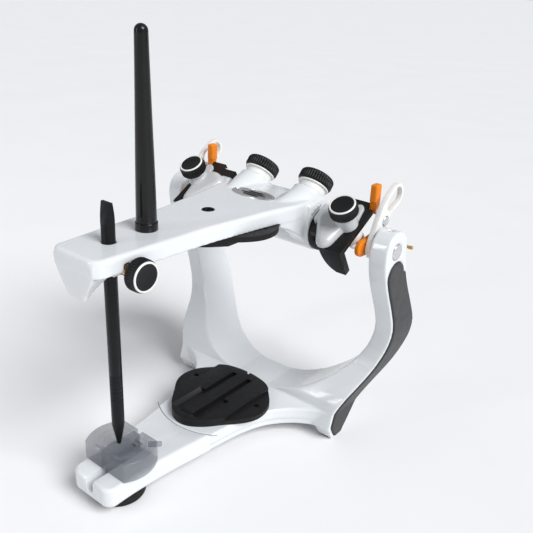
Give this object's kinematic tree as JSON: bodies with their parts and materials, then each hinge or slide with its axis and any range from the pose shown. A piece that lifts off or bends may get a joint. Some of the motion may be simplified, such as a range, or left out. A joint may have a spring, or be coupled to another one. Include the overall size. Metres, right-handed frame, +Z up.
{
  "type": "dental articulator",
  "caption": "Dental articulator: a three-footed lower frame with a condyle bow, and a hinged upper arm with adjustable fossa boxes, incisal pin and table.",
  "frame": {"origin": "on the table, below the middle of the object's footprint box", "axes": "+X to the object's right, +Y to the back, +Z up"},
  "size_m": [0.165, 0.182, 0.235],
  "materials": {
    "frame_paint": "gloss white powder coat",
    "grey_paint": "satin light grey coat",
    "black_paint": "gloss black coat",
    "steel": "machined and polished",
    "aluminium": "satin",
    "black_aluminium": "black anodised",
    "brass": "machined",
    "foot_rubber": "matte",
    "grip_rubber": "satin",
    "black_plastic": "matte moulded",
    "white_plastic": "satin moulded",
    "orange_plastic": "satin moulded",
    "smoky_plastic": "clear smoke tint"
  },
  "bodies": {
    "base": {"lower_frame": "frame_paint", "front_beam": "frame_paint", "tie_plate": "steel", "tie_screws": "steel", "front_foot": "foot_rubber", "rear_foot_pads": "foot_rubber", "lower_magnet": "steel", "lower_magnet_screw": "steel", "lower_mounting_plate": "black_plastic", "post_discs": "steel", "post_set_screws": "steel", "shaft_washers": "steel", "side_grip_left": "grip_rubber", "side_grip_right": "grip_rubber"},
    "condyles": {"condyle_shaft_left": "steel", "condyle_shaft_right": "steel"},
    "upper": {"upper_frame": "frame_paint", "barrel_rings": "black_plastic", "badge_plate": "steel", "support_pin": "black_paint", "support_ferrule": "black_paint", "upper_magnet": "steel", "upper_magnet_screw": "steel", "upper_mounting_plate": "black_plastic", "pin_clamp": "aluminium", "pin_bush": "brass"},
    "table": {"incisal_table": "smoky_plastic", "table_rail": "smoky_plastic"},
    "peg": {"table_peg": "smoky_plastic"},
    "pin": {"incisal_pin": "black_aluminium"},
    "pin_lock": {"pin_knob": "black_plastic", "pin_knob_ring": "white_plastic"},
    "rear_knob_left": {"rear_knob_cap_left": "black_plastic", "rear_knob_collar_left": "white_plastic"},
    "box_left": {"fossa_box_left": "black_plastic", "box_housing_left": "grey_paint", "lock_lever_pin_left": "steel"},
    "insert_left": {"fossa_insert_left": "white_plastic"},
    "box_knob_left": {"box_knob_left": "black_plastic", "box_knob_ring_left": "white_plastic"},
    "lock_lever_left": {"lock_lever_left": "orange_plastic"},
    "quick_lever_left": {"quick_lever_left": "white_plastic", "lever_rivet_left": "steel", "stop_pin_left": "brass"},
    "rocker_left": {"rocker_left": "orange_plastic"},
    "rear_knob_right": {"rear_knob_cap_right": "black_plastic", "rear_knob_collar_right": "white_plastic"},
    "box_right": {"fossa_box_right": "black_plastic", "box_housing_right": "grey_paint", "lock_lever_pin_right": "steel"},
    "insert_right": {"fossa_insert_right": "white_plastic"},
    "box_knob_right": {"box_knob_right": "black_plastic", "box_knob_ring_right": "white_plastic"},
    "lock_lever_right": {"lock_lever_right": "orange_plastic"},
    "quick_lever_right": {"quick_lever_right": "white_plastic", "lever_rivet_right": "steel", "stop_pin_right": "brass"},
    "rocker_right": {"rocker_right": "orange_plastic"}
  },
  "joints": [
    {"name": "opening_hinge", "type": "hinge", "parent": "base", "child": "condyles", "pos_m": [0, 0.0555, 0.1235], "axis": [-1, 0, 0], "range_deg": [0, 180]},
    {"name": "protrusion_slide", "type": "slide", "parent": "condyles", "child": "upper", "axis": [0, 0.866, 0.5], "range_m": [0, 0.006]},
    {"name": "table_slide", "type": "slide", "parent": "base", "child": "table", "axis": [0, 1, 0], "range_m": [-0.003, 0.003]},
    {"name": "peg_turn", "type": "hinge", "parent": "table", "child": "peg", "pos_m": [0.01116, -0.05793, 0.0272], "axis": [0.6975, 0.7166, 0], "range_deg": [0, 90]},
    {"name": "pin_slide", "type": "slide", "parent": "upper", "child": "pin", "axis": [0, 0, 1], "range_m": [0, 0.02]},
    {"name": "pin_lock_turn", "type": "hinge", "parent": "upper", "child": "pin_lock", "pos_m": [0.02, -0.0705, 0.1321], "axis": [1, 0, 0], "range_deg": [-180, 180]},
    {"name": "rear_knob_turn_left", "type": "hinge", "parent": "upper", "child": "rear_knob_left", "pos_m": [-0.0199, 0.0624, 0.1454], "axis": [0, 0.6691, 0.7431], "range_deg": [-180, 180]},
    {"name": "inclination_left", "type": "hinge", "parent": "upper", "child": "box_left", "pos_m": [-0.035, 0.0555, 0.1235], "axis": [-1, 0, 0], "range_deg": [-30, 50]},
    {"name": "side_guide_left", "type": "hinge", "parent": "box_left", "child": "insert_left", "pos_m": [-0.055, 0.04908, 0.12903], "axis": [0, -0.5, 0.866], "range_deg": [0, 20]},
    {"name": "box_knob_turn_left", "type": "hinge", "parent": "box_left", "child": "box_knob_left", "pos_m": [-0.055, 0.04007, 0.14462], "axis": [0, -0.5, 0.866], "range_deg": [-180, 180]},
    {"name": "lock_lever_turn_left", "type": "hinge", "parent": "box_left", "child": "lock_lever_left", "pos_m": [-0.06, 0.0632, 0.1405], "axis": [1, 0, 0], "range_deg": [-70, 0]},
    {"name": "quick_lever_turn_left", "type": "hinge", "parent": "base", "child": "quick_lever_left", "pos_m": [-0.0675, 0.0555, 0.1235], "axis": [1, 0, 0], "range_deg": [0, 75]},
    {"name": "rocker_turn_left", "type": "hinge", "parent": "base", "child": "rocker_left", "pos_m": [-0.064, 0.0555, 0.1235], "axis": [1, 0, 0], "range_deg": [-20, 20]},
    {"name": "rear_knob_turn_right", "type": "hinge", "parent": "upper", "child": "rear_knob_right", "pos_m": [0.0199, 0.0624, 0.1454], "axis": [0, 0.6691, 0.7431], "range_deg": [-180, 180]},
    {"name": "inclination_right", "type": "hinge", "parent": "upper", "child": "box_right", "pos_m": [0.035, 0.0555, 0.1235], "axis": [-1, 0, 0], "range_deg": [-30, 50]},
    {"name": "side_guide_right", "type": "hinge", "parent": "box_right", "child": "insert_right", "pos_m": [0.055, 0.04908, 0.12903], "axis": [0, 0.5, -0.866], "range_deg": [0, 20]},
    {"name": "box_knob_turn_right", "type": "hinge", "parent": "box_right", "child": "box_knob_right", "pos_m": [0.055, 0.04007, 0.14462], "axis": [0, -0.5, 0.866], "range_deg": [-180, 180]},
    {"name": "lock_lever_turn_right", "type": "hinge", "parent": "box_right", "child": "lock_lever_right", "pos_m": [0.06, 0.0632, 0.1405], "axis": [1, 0, 0], "range_deg": [-70, 0]},
    {"name": "quick_lever_turn_right", "type": "hinge", "parent": "base", "child": "quick_lever_right", "pos_m": [0.0675, 0.0555, 0.1235], "axis": [1, 0, 0], "range_deg": [0, 75]},
    {"name": "rocker_turn_right", "type": "hinge", "parent": "base", "child": "rocker_right", "pos_m": [0.064, 0.0555, 0.1235], "axis": [1, 0, 0], "range_deg": [-20, 20]}
  ]
}
